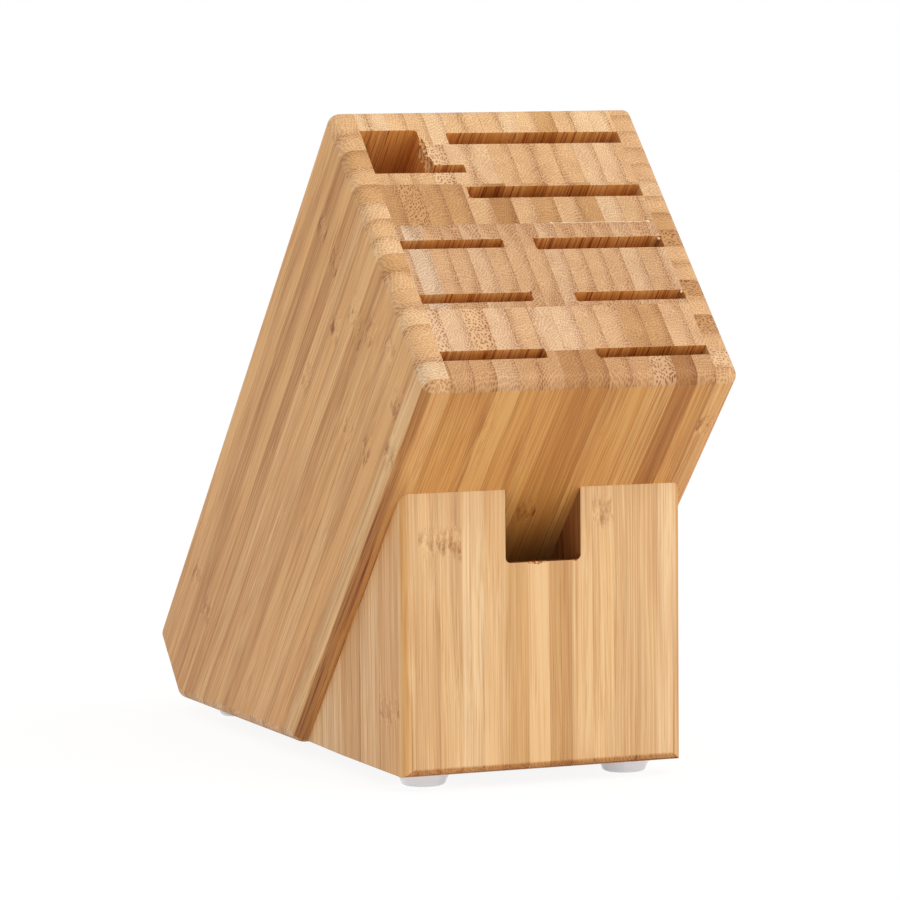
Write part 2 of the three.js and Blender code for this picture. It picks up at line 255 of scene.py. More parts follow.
def bamboo_grain():
    """Node group for solid bamboo: strips side by side, in each of them bundles that run with the fibres."""
    look = bpy.context.scene.block_bamboo
    tree, given = node_group("Bamboo grain", "ShaderNodeTree", {
        "Place": "Vector", "Facing": "Vector", "Strip": "Float", "Strip width": "Float", "Seed": "Float",
        "Wood": "Color", "Coarse": "Float", "Node height": "Float", "Arc": "Float", "Ends": "Color",
        "Faces": "Color", "Walls": "Color", "Rounded": "Color", "Streaks": "Float",
    }, {"Colour": "Color", "Height": "Float", "Rough": "Float"})
    put = functools.partial(add, tree)
    smooth = {"interpolation_type": "SMOOTHSTEP"}

    def fibrous(scale, detail, rough=0.5):
        """Noise along the fibres' path. The scale is 1 over the pattern's size in millimetres: twice across
        the fibres, then along them."""
        place = put(VECTOR_MATH, [path, scale], operation="MULTIPLY")
        return put(NOISE, {"Vector": place, "Scale": 1.0, "Detail": detail, "Roughness": rough}).outputs

    def sway(colour, width):
        """A sideways shift from a noise's colour, at most about half the width to each side."""
        centred = put(VECTOR_MATH, [colour, (0.5, 0.5, 0.5)], operation="SUBTRACT")
        return put(VECTOR_MATH, [centred, (width, width, 0.0)], operation="MULTIPLY")

    # Which way the surface looks: at the fibres' ends, along them, or between the two on a rounded edge.
    facing = put(VECTOR_MATH, [given["Facing"]], operation="ABSOLUTE")
    facing = put("ShaderNodeSeparateXYZ", [facing]).outputs
    end = put(RANGE, {"Value": facing[2], "From Min": 0.02, "From Max": 0.14}, **smooth)
    turned = put(RANGE, {"Value": facing[2], "From Min": 0.02, "From Max": 0.16}, **smooth)
    flat = put(MATH, [facing[0], facing[1]], operation="MAXIMUM")
    flat = put(MATH, [flat, facing[2]], operation="MAXIMUM")
    bend = put(RANGE, {"Value": flat, "From Min": 0.985, "From Max": 0.86}, **smooth)
    # Where the wall tint goes: the saw-cut walls in the slots, and painted shade in the groove by the support
    # and in the notch.
    sawn = put("ShaderNodeAttribute", attribute_name="sawn").outputs["Fac"]

    # The strip's number decides its seed, and the fraction is how far across it a point lies.
    number = put(MATH, [given["Strip"]], operation="FLOOR")
    across = put(MATH, [given["Strip"]], operation="FRACT")
    seed = put(MATH, [given["Seed"], 31.7, number], operation="MULTIPLY_ADD")
    luck = put("ShaderNodeTexWhiteNoise", {"W": seed}, noise_dimensions="1D").outputs["Color"]
    lucks = put("ShaderNodeSeparateColor", [luck]).outputs

    # Culm nodes: a band across the strip, up to 7 mm to each side, where the fibres swirl. Its rags are about
    # 2.4 mm wide and 8 mm long.
    path = given["Place"]
    start = put("ShaderNodeSeparateXYZ", [path]).outputs
    ragged = fibrous((0.42, 0.42, 0.13), 3.0, 0.6)
    drop = put(MATH, [start[2], given["Node height"]], operation="ADD")
    drop = put(MATH, [ragged["Fac"], 12.0, drop], operation="MULTIPLY_ADD")
    drop = put(MATH, [drop, -6.0], operation="ADD")
    away = put(MATH, [drop], operation="ABSOLUTE")
    limits = {"Value": away, "From Min": 0.5, "From Max": 7.0, "To Min": 1.0, "To Max": 0.0}
    culm_node = put(RANGE, limits, **smooth)

    # The fibres wander slowly, over 14 mm and over 3 mm of width, and round a culm node they bend aside.
    drift = sway(fibrous((0.07, 0.07, 0.009), 1.5)["Color"], 4.0)
    curl = sway(fibrous((0.3, 0.3, 0.003), 1.0)["Color"], 2.6)
    bent = sway(ragged["Color"], 8.0)
    bent = put(VECTOR_MATH, {0: bent, "Scale": culm_node}, operation="SCALE")
    shift = put(VECTOR_MATH, [luck, (0.0, 90.0, 60.0)], operation="MULTIPLY")
    for step in (drift, curl, bent, shift):
        path = put(VECTOR_MATH, [path, step], operation="ADD")

    # Bundles: cells across the grain, in rows that each strip lays its own way. They show as dots on the ends
    # and as streaks along the sides.
    angle = put(MATH, [lucks[2], 1.6, -0.8], operation="MULTIPLY_ADD")
    rows = put(VECTOR_MATH, [path, (1.15, 0.78, 1.0)], operation="MULTIPLY")
    rows = put("ShaderNodeVectorRotate", {"Vector": rows, "Angle": angle}, rotation_type="Z_AXIS")
    bundles = []
    for pitch, disorder, rim in ((look.bundle_pitch, 0.28, 0.52), (look.coarse_pitch, 0.55, 0.38)):
        cells = {"Vector": rows, "Scale": MM / pitch, "Randomness": disorder}
        cells = put("ShaderNodeTexVoronoi", cells, voronoi_dimensions="2D").outputs["Distance"]
        bundles.append(put(RANGE, {"Value": cells, "From Min": rim, "From Max": 0.2}, **smooth))
    dots = put(MIX, {"Factor": given["Coarse"], "A": bundles[0], "B": bundles[1]})

    # One side of a strip was the culm's skin, where the bundles crowd together. The layers are arcs.
    skin = put(MATH, [lucks[0], 0.7], operation="GREATER_THAN")
    skin = put(MATH, [skin, across], operation="SUBTRACT")
    skin = put(MATH, [skin], operation="ABSOLUTE")
    depth = put(MATH, [start[1], 0.1], operation="MULTIPLY")
    depth = put(MATH, [depth, depth], operation="MULTIPLY")
    skin = put(MATH, [depth, given["Arc"], skin], operation="MULTIPLY_ADD")
    crowd = put(RANGE, {"Value": skin, "From Min": 0.62, "From Max": 1.02}, **smooth)

    # The glued seams between strips are hardly 0.05 mm wide. They are drawn some 0.3 mm wide, so that they
    # show.
    edge = put(MATH, [across, 0.5], operation="SUBTRACT")
    edge = put(MATH, [edge], operation="ABSOLUTE")
    edge = put(MATH, [0.5, edge], operation="SUBTRACT")
    edge = put(MATH, [edge, given["Strip width"]], operation="MULTIPLY")
    limits = {"Value": edge, "From Min": 0.04, "From Max": 0.22, "To Min": 1.0, "To Max": 0.0}
    seam = put(RANGE, limits, **smooth)

    # Fine streaks half a millimetre wide and 80 mm long, creamier where they are pale, darker lines a third
    # of a millimetre wide, and a slow change of tone over 7 mm.
    streak = fibrous((1.9, 1.9, 0.013), 3.0, 0.65)["Fac"]
    cream, tan = (1.0, 1.32, 1.75, 1.0), (1.0, 0.68, 0.25, 1.0)
    warmth = put(MIX, {"Factor": streak, "A": cream, "B": tan}, data_type="RGBA")
    streak = put(MATH, [streak, 0.5], operation="SUBTRACT")
    line = {"Value": fibrous((3.0, 3.0, 0.007), 1.0)["Fac"], "From Min": 0.58, "From Max": 0.72}
    line = put(RANGE, line, **smooth)
    broad = fibrous((0.14, 0.14, 0.008), 2.0)["Fac"]
    broad = put(MATH, [broad, 0.5], operation="SUBTRACT")
    torn = {"Value": ragged["Fac"], "From Min": 0.44, "From Max": 0.66, "To Min": -0.12, "To Max": 0.62}
    torn = put(RANGE, torn, interpolation_type="LINEAR")
    torn = put(MATH, [torn, culm_node], operation="MULTIPLY")

    # How much of the bundles' colour lies over the wood. The bundles come first, and they show most on the
    # ends, in the crowded layers and in coarse strips.
    crowded = put(MATH, [crowd, 0.12, 0.36], operation="MULTIPLY_ADD")
    weight = put(MIX, {"Factor": end, "A": 0.07, "B": crowded})
    coarse = put(MIX, {"Factor": end, "A": 0.2, "B": 0.66})
    weight = put(MIX, {"Factor": given["Coarse"], "A": weight, "B": coarse})
    cover = put(MATH, [dots, weight], operation="MULTIPLY")
    # The rest, each with what it adds along the fibres and on their ends. A saw leaves stronger streaks.
    rest = ((crowd, 0.08, 0.17), (seam, 0.06, 0.2), (streak, 1.5, 0.15), (line, 0.16, 0.0), (broad, 0.9, 0.4))
    for part, on_sides, on_ends in rest:
        weight = put(MIX, {"Factor": end, "A": on_sides, "B": on_ends})
        if part is streak:
            weight = put(MIX, {"Factor": sawn, "A": weight, "B": 4.8})
            weight = put(MATH, [weight, given["Streaks"]], operation="MULTIPLY")
        cover = put(MATH, [part, weight, cover], operation="MULTIPLY_ADD")
    cover = put(MATH, [torn, 0.95, cover], operation="MULTIPLY_ADD")
    cover = put(MATH, [cover, 0.11], operation="ADD", use_clamp=True)

    # The colour is the wood, multiplied by what covers or stains it, and by painted shade: the rounded edges'
    # colour, the wall tint where it marks the groove and the notch, and the faces' colour on the side panels
    # and the front board.
    along = put(MATH, [1.0, end], operation="SUBTRACT")
    oil_and_shade = put(MIX, {"Factor": turned, "A": given["Faces"], "B": given["Ends"]}, data_type="RGBA")
    warm = put(MATH, [along, given["Streaks"]], operation="MULTIPLY")
    bend = put(MATH, [bend, along], operation="MULTIPLY")
    colour = given["Wood"]
    stains = (
        (look.bundle, cover), (oil_and_shade, 1.0), (warmth, warm), (given["Rounded"], bend), (given["Walls"], sawn),
    )
    for stain, share in stains:
        layers = {"Factor": share, "A": colour, "B": stain}
        colour = put(MIX, layers, data_type="RGBA", blend_type="MULTIPLY")
    height = 0.0
    for part, rise in ((torn, -2.0), (seam, -0.8), (dots, -0.5)):
        height = put(MATH, [part, rise, height], operation="MULTIPLY_ADD")
    rough = put(MATH, [cover, 0.15, 0.5], operation="MULTIPLY_ADD")
    put("NodeGroupOutput", {"Colour": colour, "Height": height, "Rough": rough})
    return tree


def blank_material(name):
    """A new material, its tree with one node in it, and that node's sockets: the piece's own coordinates."""
    material = bpy.data.materials.new(name)
    material.use_nodes = True
    tree = material.node_tree
    tree.nodes.clear()
    return material, tree, add(tree, "ShaderNodeTexCoord").outputs


def bamboo(
    node, strips, offset, turn=(0.0, 0.0, 0.0), seed=0.0, arc=0.2, ends=PLAIN, faces=PLAIN, spread=1.0,
    walls=None, rounded=None, streaks=1.0,
):
    """Laminated bamboo, planed, sanded and oiled: a warm, even sheen over strips that each have their own
    tone, dotted on the ends and streaked along the sides. strips holds the strips' width, where the first
    begins once offset and turn have laid the board along its axes, in millimetres, and a tone and a node for
    each strip. The ends and faces of the boards take up the oil unequally, and on the side panels and the
    front board the faces' colour also holds painted shade; spread is how far apart the tones lie, and streaks
    how strong the fine streaks are."""
    width, first_seam, tones, nodes = strips
    look = bpy.context.scene.block_bamboo
    material, tree, own = blank_material(node.replace("_", " ").capitalize() + " bamboo")
    put = functools.partial(add, tree)
    place = {"Vector": own["Object"], "Location": offset, "Rotation": turn, "Scale": (1 / MM, 1 / MM, 1 / MM)}
    place = put("ShaderNodeMapping", place)
    facing = put("ShaderNodeMapping", {"Vector": own["Normal"], "Rotation": turn}, vector_type="VECTOR")
    axes = put("ShaderNodeSeparateXYZ", [place]).outputs
    strip = put(MATH, [axes[0], first_seam], operation="SUBTRACT")
    strip = put(MATH, [strip, width], operation="DIVIDE")
    share = put(MATH, [strip, len(tones)], operation="DIVIDE")

    # Two ramps with a step for each strip: its colour with its coarseness as alpha, and its node's height.
    colours = []
    heights = []
    for tone, mark in zip(tones, nodes, strict=True):
        wood = Vector(look.medium).lerp(Vector(getattr(look, TONES[tone.lower()])), spread)
        colours.append((*wood[:3], 1.0 if tone.isupper() else 0.0))
        level = 1.0 if mark == NO_NODE else int(mark, 36) * NODE_STEP / NODE_REACH
        heights.append((level, level, level, 1.0))
    ramps = []
    for steps in (colours, heights):
        stepped = put("ShaderNodeValToRGB", [share])
        ramps.append(stepped.outputs)
        ramp = stepped.color_ramp
        ramp.interpolation = "CONSTANT"
        ramp.elements.remove(ramp.elements[1])
        for k, step in enumerate(steps):
            element = ramp.elements[0] if k == 0 else ramp.elements.new(k / len(steps))
            element.color = step
    height = put(MATH, [ramps[1]["Color"], NODE_REACH], operation="MULTIPLY")

    grain = put("ShaderNodeGroup", {
        "Place": place, "Facing": facing, "Strip": strip, "Strip width": width, "Seed": seed, "Arc": arc,
        "Wood": ramps[0]["Color"], "Coarse": ramps[0]["Alpha"], "Node height": height, "Ends": lin(ends),
        "Faces": lin(faces), "Walls": walls or look.sawn, "Rounded": rounded or look.rounded,
        "Streaks": streaks,
    }, node_tree=bpy.data.node_groups.get("Bamboo grain") or bamboo_grain()).outputs
    # The grain stands out by 0.06 mm at most.
    relief = put("ShaderNodeBump", {"Height": grain["Height"], "Distance": 0.06 * MM, "Strength": 0.7})
    shader = put("ShaderNodeBsdfPrincipled", {
        "Base Color": grain["Colour"], "Roughness": grain["Rough"], "Normal": relief, "IOR": 1.46,
    })
    put("ShaderNodeOutputMaterial", {"Surface": shader})
    return material


def torn_fibres():
    """Bamboo broken along its fibres: pale cream splinters with brown hollows between them, rough and
    unoiled, so it hardly shines."""
    look = bpy.context.scene.block_bamboo
    material, tree, own = blank_material("Torn bamboo fibres")
    put = functools.partial(add, tree)
    # Splinters about 0.7 mm wide and 4 mm long.
    place = {"Vector": own["Object"], "Rotation": BLOCK_TURN, "Scale": (1500, 1500, 260)}
    place = put("ShaderNodeMapping", place)
    splinter = put(NOISE, {"Vector": place, "Scale": 1.0, "Detail": 3.0, "Roughness": 0.6}).outputs["Fac"]
    share = put(RANGE, {"Value": splinter, "From Min": 0.4, "From Max": 0.62})
    tone = put(MIX, {"Factor": share, "A": look.torn, "B": look.torn_hollow}, data_type="RGBA")
    relief = put("ShaderNodeBump", {"Height": splinter, "Distance": 0.0003, "Strength": 0.6})
    shader = put("ShaderNodeBsdfPrincipled", {
        "Base Color": tone, "Roughness": 0.85, "Normal": relief, "Specular IOR Level": 0.15,
    })
    put("ShaderNodeOutputMaterial", {"Surface": shader})
    return material


def dried_glue():
    """White wood glue that dried where it was squeezed out: nearly clear ivory, glossy, a little uneven."""
    look = bpy.context.scene.block_bamboo
    material, tree, own = blank_material("Dried wood glue")
    put = functools.partial(add, tree)
    # Clouds about 1 mm wide.
    cloud = put(NOISE, {"Vector": own["Object"], "Scale": 900.0, "Detail": 2.0}).outputs["Fac"]
    tone = put(MIX, {"Factor": cloud, "A": look.glue, "B": look.light}, data_type="RGBA")
    relief = put("ShaderNodeBump", {"Height": cloud, "Distance": 0.0001, "Strength": 0.3})
    shader = put("ShaderNodeBsdfPrincipled", {"Base Color": tone, "Roughness": 0.3, "Normal": relief})
    put("ShaderNodeOutputMaterial", {"Surface": shader})
    return material


def soft_rubber():
    """Clear-white polyurethane rubber: milky, with a satin skin and faint flow marks. The light that comes up
    through it from the pale floor is given to it as a faint glow of its own."""
    look = bpy.context.scene.block_feet
    material, tree, own = blank_material("Clear-white polyurethane rubber")
    put = functools.partial(add, tree)
    # Clouds about 6 mm wide, and a skin with dimples of half a millimetre.
    cloud = put(NOISE, {"Vector": own["Object"], "Scale": 160.0, "Detail": 3.0}).outputs["Fac"]
    tone = put(MIX, {"Factor": cloud, "A": look.rubber, "B": look.rubber_shade}, data_type="RGBA")
    skin = put(NOISE, {"Vector": own["Object"], "Scale": 1800.0, "Detail": 2.0}).outputs["Fac"]
    relief = put("ShaderNodeBump", {"Height": skin, "Distance": 0.00002, "Strength": 0.3})
    rough = put(RANGE, {"Value": cloud, "To Min": 0.28, "To Max": 0.42})
    shader = put("ShaderNodeBsdfPrincipled", {
        "Base Color": tone, "Roughness": rough, "Normal": relief, "IOR": 1.48,
        "Emission Color": look.rubber_inside, "Emission Strength": look.rubber_glow,
    })
    put("ShaderNodeOutputMaterial", {"Surface": shader})
    return material


def beech():
    """Steamed beech, turned: pinkish straw with short darker flecks along the grain."""
    look = bpy.context.scene.block_feet
    material, tree, own = blank_material("Steamed beech")
    put = functools.partial(add, tree)
    # Flecks about 1 mm wide and 8 mm long.
    place = {"Vector": own["Object"], "Rotation": (TILT, 0.0, 0.0), "Scale": (900, 900, 120)}
    place = put("ShaderNodeMapping", place)
    fleck = put(NOISE, {"Vector": place, "Scale": 1.0, "Detail": 3.0}).outputs["Fac"]
    share = put(RANGE, {"Value": fleck, "From Min": 0.45, "From Max": 0.7})
    tone = put(MIX, {"Factor": share, "A": look.beech, "B": look.beech_fleck}, data_type="RGBA")
    relief = put("ShaderNodeBump", {"Height": fleck, "Distance": 0.00005, "Strength": 0.4})
    shader = put("ShaderNodeBsdfPrincipled", {"Base Color": tone, "Roughness": 0.65, "Normal": relief})
    put("ShaderNodeOutputMaterial", {"Surface": shader})
    return material


# ---------------------------------------------------------------------------------------------------------
# Mesh work
# ---------------------------------------------------------------------------------------------------------


def as_object(name, data):
    """A new object in the scene, at the origin, that shows a mesh, a lamp or a camera."""
    thing = bpy.data.objects.new(name, data)
    bpy.context.scene.collection.objects.link(thing)
    return thing


def merged(node):
    """A copy of a CAD node's mesh in block axes and millimetres, merged, with its flat faces whole again."""
    mesh = bmesh.new()
    mesh.from_mesh(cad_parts[node].data)
    bmesh.ops.remove_doubles(mesh, verts=mesh.verts, dist=1e-6)
    mesh.transform(INTO_BLOCK)
    bmesh.ops.dissolve_limit(mesh, angle_limit=math.radians(0.6), verts=mesh.verts, edges=mesh.edges)
    return mesh


def upright(point):
    """A point in block axes as a point above the floor, in millimetres."""
    return OUT_OF_BLOCK @ point * 1000


def close_core_joints(mesh):
    """Brings a core board's glued faces together, to a hairline."""
    for vert in mesh.verts:
        on_underside = abs(upright(vert.co).z - UNDERSIDE) < NEAR
        for joint in GLUE_JOINTS:
            gap = vert.co.y - joint
            if abs(abs(gap) - GLUE_GAP / 2) < NEAR:
                target = joint + math.copysign(HAIRLINE / 2, gap)
                if on_underside:
                    vert.co.z -= target - vert.co.y
                vert.co.y = target
        if abs(abs(vert.co.x) - CORE_SIDE + GLUE_GAP) < NEAR:
            vert.co.x = math.copysign(CORE_SIDE - HAIRLINE, vert.co.x)


def flat_on(face, axis, level):
    """True if a face lies in the plane where that block axis is at that level."""
    return all(abs(vert.co[axis] - level) < NEAR for vert in face.verts)


def round_off(mesh, edges, radius, segments):
    """Gives edges a round bevel that ends a radius from where each edge was."""
    bmesh.ops.bevel(
        mesh, geom=edges, offset=radius, offset_type="OFFSET", segments=segments, profile=0.5, affect="EDGES",
        clamp_overlap=True,
    )


def round_kerf_ends(mesh, radius):
    """Rounds the inner corners that the saw leaves at the ends of the slots: the long hollow edges that run
    with the fibres."""
    corners = []
    for edge in mesh.edges:
        along = edge.verts[1].co - edge.verts[0].co
        if len(edge.link_faces) == 2 and abs(along.z) > 20 and along.to_2d().length < NEAR:
            if not edge.is_convex and edge.calc_face_angle(0) > math.radians(60):
                corners.append(edge)
    round_off(mesh, corners, radius, 3)


def ease_edges(mesh, hidden, width):
    """Rounds the sharp outer edges that no glued face touches."""
    edges = []
    for edge in mesh.edges:
        if len(edge.link_faces) != 2 or any(hidden(face) for face in edge.link_faces):
            continue
        if edge.is_convex and edge.calc_face_angle(0) > math.radians(30):
            edges.append(edge)
    round_off(mesh, edges, width, 2)


# Marks on a board's faces while chips are cut from it.
MARKS = PLANED, WALL_TINTED, TORN = range(3)


def chip(mesh, lumps):
    """Breaks rough lumps out of a board: for each its middle and its half widths, in millimetres. Keeps the
    wall tint's mark, which is the saw-cut slot walls in the core boards and the notch's painted shade in the
    support's front panel, and gives the broken ones the second material slot."""
    sawn = mesh.faces.layers.float["sawn"]
    for face in mesh.faces:
        face.material_index = WALL_TINTED if face[sawn] > 0.5 else PLANED
    lump_mesh = bmesh.new()
    for middle, halves in lumps:
        made = bmesh.ops.create_icosphere(lump_mesh, subdivisions=4, radius=1.0)
        for vert in made["verts"]:
            place = Vector([m + c * h for m, c, h in zip(middle, vert.co, halves)])
            coarse = noise.noise(Vector((place.x * 1.3, place.y * 1.3, place.z * 0.35)))
            fine = noise.noise(Vector((place.x * 4.0, place.y * 4.0, place.z * 0.9)))
            vert.co = place + vert.co * (0.45 * coarse + 0.14 * fine) * min(1.0, *halves)
    for face in lump_mesh.faces:
        face.material_index = TORN
    things = []
    for label, part in (("board", mesh), ("lumps", lump_mesh)):
        data = bpy.data.meshes.new(label)
        part.to_mesh(data)
        part.clear()
        for mark in MARKS:
            data.materials.append(None)
        things.append(as_object(label, data))
    board, cutter = things
    cut = board.modifiers.new("Chips", "BOOLEAN")
    cut.operation = "DIFFERENCE"
    cut.solver = "EXACT"
    cut.use_self = True
    cut.object = cutter
    view = bpy.context.evaluated_depsgraph_get()
    result = bpy.data.meshes.new_from_object(board.evaluated_get(view))
    mesh.from_mesh(result)
    lump_mesh.free()
    # Its object goes with each mesh.
    for thing in things:
        bpy.data.meshes.remove(thing.data)
    bpy.data.meshes.remove(result)
    sawn = mesh.faces.layers.float.get("sawn") or mesh.faces.layers.float.new("sawn")
    for face in mesh.faces:
        face[sawn] = float(face.material_index == WALL_TINTED)
        face.material_index = int(face.material_index == TORN)


def piece(mesh, name, material, nodes):
    """Makes an object of a mesh in block axes. It stands for the nodes and rides on the body."""
    mesh.transform(OUT_OF_BLOCK)
    bmesh.ops.recalc_face_normals(mesh, faces=mesh.faces)
    for face in mesh.faces:
        face.smooth = True
    for edge in mesh.edges:
        edge.smooth = edge.calc_face_angle(0) < math.radians(24)
    data = bpy.data.meshes.new(name)
    mesh.to_mesh(data)
    mesh.free()
    data.materials.append(material)
    if any(face.material_index for face in data.polygons):
        data.materials.append(torn_fibres())
    thing = as_object(name, data)
    thing.modifiers.new("Even shading", "WEIGHTED_NORMAL").keep_sharp = True
    claim(thing, nodes)


def claim(thing, nodes):
    """Puts a finished object in place of CAD nodes."""
    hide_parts(*nodes)
    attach(thing, BODY)


# ---------------------------------------------------------------------------------------------------------
# Geometry Nodes
# ---------------------------------------------------------------------------------------------------------

# The inputs of a tree that sets four bodies at the corners of a rectangle.
FOUR_INPUTS = {
    "Across": "Float", "Along": "Float", "Centre": "Vector", "Turn": "Rotation", "Material": "Material",
}


def four_of(tree, body, given):
    """Sets a body at the four corners of a rectangle, shades it, and gives it its material."""
    put = functools.partial(add, tree)
    corners = {"Size X": given["Across"], "Size Y": given["Along"], "Vertices X": 2, "Vertices Y": 2}
    corners = put("GeometryNodeMeshGrid", corners)
    copies = put("GeometryNodeInstanceOnPoints", {"Points": corners, "Instance": body})
    placed = {"Geometry": copies, "Translation": given["Centre"], "Rotation": given["Turn"]}
    copies = put("GeometryNodeTransform", placed)
    solid = put("GeometryNodeRealizeInstances", [copies])
    solid = put("GeometryNodeSetShadeSmooth", {"Geometry": solid, "Shade Smooth": True}, domain="FACE")
    bend = put("GeometryNodeInputMeshEdgeAngle").outputs["Unsigned Angle"]
    corner = put("FunctionNodeCompare", [bend, math.radians(40)], operation="GREATER_THAN")
    corner = {"Geometry": solid, "Selection": corner, "Shade Smooth": False}
    solid = put("GeometryNodeSetShadeSmooth", corner, domain="EDGE")
    solid = put("GeometryNodeSetMaterial", {"Geometry": solid, "Material": given["Material"]})
    put("NodeGroupOutput", [solid])


def turned_body(tree, rounds, rings, radius, height):
    """A cylinder of the given rounds and rings, whose radius and height are worked out from each point's
    share of the height, from 0 at the bottom to 1 at the top, and from its angle about the axis."""
    put = functools.partial(add, tree)
    blank = put(
        "GeometryNodeMeshCylinder",
        {"Vertices": rounds, "Side Segments": rings, "Fill Segments": 2, "Radius": 1.0, "Depth": 1.0},
        fill_type="NGON",
    )
    spot = put("ShaderNodeSeparateXYZ", [put("GeometryNodeInputPosition")]).outputs
    share = put(MATH, [spot[2], 0.5], operation="ADD")
    angle = put(MATH, [spot[1], spot[0]], operation="ARCTAN2")
    level = height(share)
    reach = radius(level, angle)
    x = put(MATH, [spot[0], reach], operation="MULTIPLY")
    y = put(MATH, [spot[1], reach], operation="MULTIPLY")
    spot = put("ShaderNodeCombineXYZ", [x, y, level])
    return put("GeometryNodeSetPosition", {"Geometry": blank.outputs["Mesh"], "Position": spot})


def bumper_tree():
    """Four moulded bumpers: the sides slope in to the floor, and end there in a rounded rim."""
    own = {"Height": "Float", "Top radius": "Float", "Waist radius": "Float", "Rim": "Float"}
    tree, given = node_group("Bumpers", "GeometryNodeTree", own | FOUR_INPUTS, {"Geometry": "Geometry"})
    put = functools.partial(add, tree)

    def height(share):
        """The rings lie closer together near the floor, where the rim bends."""
        share = put(MATH, [share, 1.5], operation="POWER")
        return put(MATH, [share, given["Height"]], operation="MULTIPLY")

    def radius(level, angle):
        """A straight side, less what the rim's quarter circle takes off it below the rim's height."""
        side = put(RANGE, {
            "Value": level, "From Min": given["Rim"], "From Max": given["Height"],
            "To Min": given["Waist radius"], "To Max": given["Top radius"],
        }, clamp=True)
        below = put(MATH, [given["Rim"], level], operation="SUBTRACT")
        below = put(MATH, [below, 0.0], operation="MAXIMUM")
        below = put(MATH, [below, given["Rim"]], operation="DIVIDE")
        arc = put(MATH, [below, below], operation="MULTIPLY")
        arc = put(MATH, [1.0, arc], operation="SUBTRACT")
        arc = put(MATH, [arc, 0.5], operation="POWER")
        inset = put(MATH, [1.0, arc], operation="SUBTRACT")
        inset = put(MATH, [inset, given["Rim"]], operation="MULTIPLY")
        return put(MATH, [side, inset], operation="SUBTRACT")

    four_of(tree, turned_body(tree, 48, 14, radius, height), given)
    return tree


def dowel_tree():
    """Four fluted dowels with chamfered ends."""
    own = {"Length": "Float", "Radius": "Float", "Chamfer": "Float", "Flutes": "Int", "Flute depth": "Float"}
    tree, given = node_group("Dowels", "GeometryNodeTree", own | FOUR_INPUTS, {"Geometry": "Geometry"})
    put = functools.partial(add, tree)

    def height(share):
        """The middle of the dowel is at 0."""
        share = put(MATH, [share, 0.5], operation="SUBTRACT")
        return put(MATH, [share, given["Length"]], operation="MULTIPLY")

    def radius(level, angle):
        """The full radius, less the flutes, and less the chamfer near both ends."""
        wave = put(MATH, [angle, given["Flutes"]], operation="MULTIPLY")
        wave = put(MATH, [wave], operation="COSINE")
        wave = put(MATH, [wave, 0.0], operation="MAXIMUM")
        groove = put(MATH, [wave, wave], operation="MULTIPLY")
        groove = put(MATH, [groove, given["Flute depth"]], operation="MULTIPLY")
        start = put(MATH, [given["Length"], 0.5], operation="MULTIPLY")
        start = put(MATH, [start, given["Chamfer"]], operation="SUBTRACT")
        past = put(MATH, [level], operation="ABSOLUTE")
        past = put(MATH, [past, start], operation="SUBTRACT")
        past = put(MATH, [past, 0.0], operation="MAXIMUM")
        reach = put(MATH, [given["Radius"], groove], operation="SUBTRACT")
        return put(MATH, [reach, past], operation="SUBTRACT")

    four_of(tree, turned_body(tree, 144, 24, radius, height), given)
    return tree


def glue_tree():
    """Glue that was squeezed out: a wavy thread along each edge that is given, and a drop at each point."""
    tree, given = node_group("Squeezed-out glue", "GeometryNodeTree", {
        "Path": "Geometry", "Thread radius": "Float", "Drop radius": "Float", "Waviness": "Float",
        "Seed": "Int", "Material": "Material",
    }, {"Geometry": "Geometry"})
    put = functools.partial(add, tree)
    line = put("GeometryNodeMeshToCurve", {"Mesh": given["Path"]})
    line = put("GeometryNodeResampleCurve", {"Curve": line, "Length": 0.8 * MM}, mode="LENGTH")
    spot = put("GeometryNodeInputPosition")
    # Ripples about 4 mm long.
    ripple = put(NOISE, {"Vector": spot, "Scale": 260.0, "Detail": 2.0}).outputs
    centred = put(VECTOR_MATH, [ripple["Color"], (0.5, 0.5, 0.5)], operation="SUBTRACT")
    shift = put(VECTOR_MATH, {0: centred, "Scale": given["Waviness"]}, operation="SCALE")
    line = put("GeometryNodeSetPosition", {"Geometry": line, "Offset": shift})
    swell = put(RANGE, {"Value": ripple["Fac"], "To Min": 0.3, "To Max": 1.6})
    ring = {"Resolution": 8, "Radius": given["Thread radius"]}
    ring = put("GeometryNodeCurvePrimitiveCircle", ring, mode="RADIUS").outputs["Curve"]
    thread = {"Curve": line, "Profile Curve": ring, "Scale": swell, "Fill Caps": True}
    thread = put("GeometryNodeCurveToMesh", thread)
    drop = put("GeometryNodeMeshIcoSphere", {"Radius": given["Drop radius"], "Subdivisions": 3})
    sizes = {"Min": (0.6, 0.6, 0.5), "Max": (1.0, 1.0, 0.8), "Seed": given["Seed"]}
    sizes = put("FunctionNodeRandomValue", sizes, data_type="FLOAT_VECTOR")
    drops = {"Points": given["Path"], "Instance": drop.outputs["Mesh"], "Scale": sizes}
    drops = put("GeometryNodeInstanceOnPoints", drops)
    both = put("GeometryNodeJoinGeometry")
    tree.links.new(thread.outputs[0], both.inputs[0])
    tree.links.new(drops.outputs[0], both.inputs[0])
    solid = put("GeometryNodeRealizeInstances", [both])
    solid = put("GeometryNodeSetShadeSmooth", {"Geometry": solid, "Shade Smooth": True}, domain="FACE")
    solid = put("GeometryNodeSetMaterial", {"Geometry": solid, "Material": given["Material"]})
    put("NodeGroupOutput", [solid])
    return tree


def middle_and_spread(nodes):
    """The middle of the CAD nodes' boxes, and how far apart their middles lie."""
    middles = []
    for node in nodes:
        low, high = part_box(node)
        middles.append((Vector(low) + Vector(high)) / 2)
    centre = sum(middles, Vector()) / len(middles)
    spread = [max(m[k] for m in middles) - min(m[k] for m in middles) for k in range(3)]
    return centre, Vector(spread)


